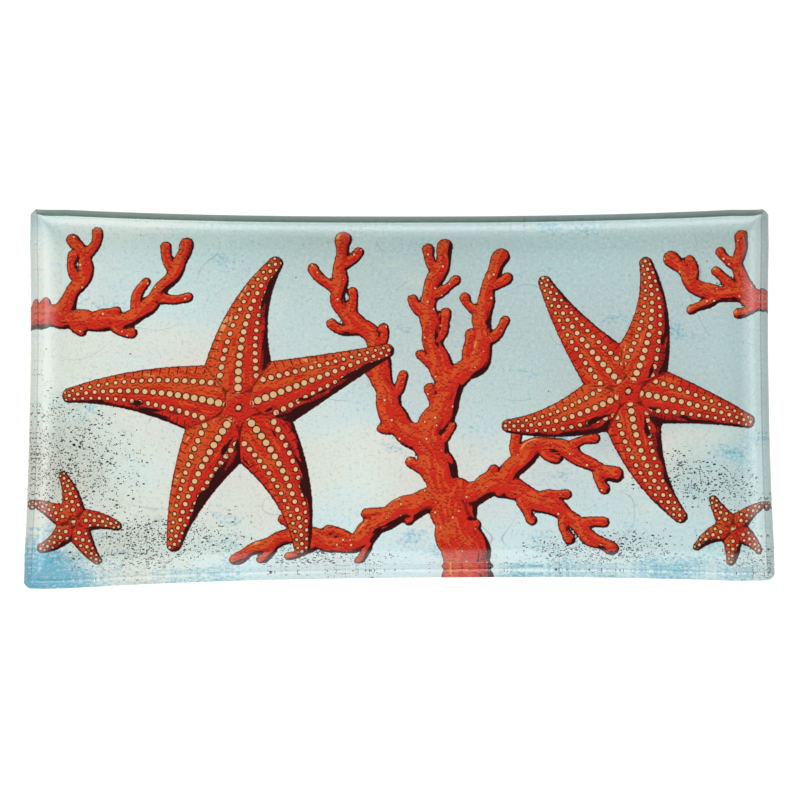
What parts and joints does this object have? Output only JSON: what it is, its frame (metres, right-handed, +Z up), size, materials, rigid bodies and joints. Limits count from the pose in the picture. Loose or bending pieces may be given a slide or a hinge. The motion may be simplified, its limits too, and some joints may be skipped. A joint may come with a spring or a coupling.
{
  "type": "glass tray",
  "caption": "Shallow rectangular serving tray of slumped clear glass, with softly upturned lips on all sides and a printed paper sheet pasted under it.",
  "frame": {"origin": "under the middle of the tray, on the surface that it stands on", "axes": "+X along the long side, to the right in the picture; +Y across, away from the viewer; +Z up out of the tray"},
  "size_m": [0.305, 0.1604, 0.0113],
  "materials": {
    "clear_glass": "clear, fire polished, with a ground edge",
    "printed_paper": "printed front seen through the glass, sealed off-white back"
  },
  "bodies": {
    "root": {"glass_tray": "clear_glass", "printed_paper": "printed_paper"}
  },
  "joints": []
}
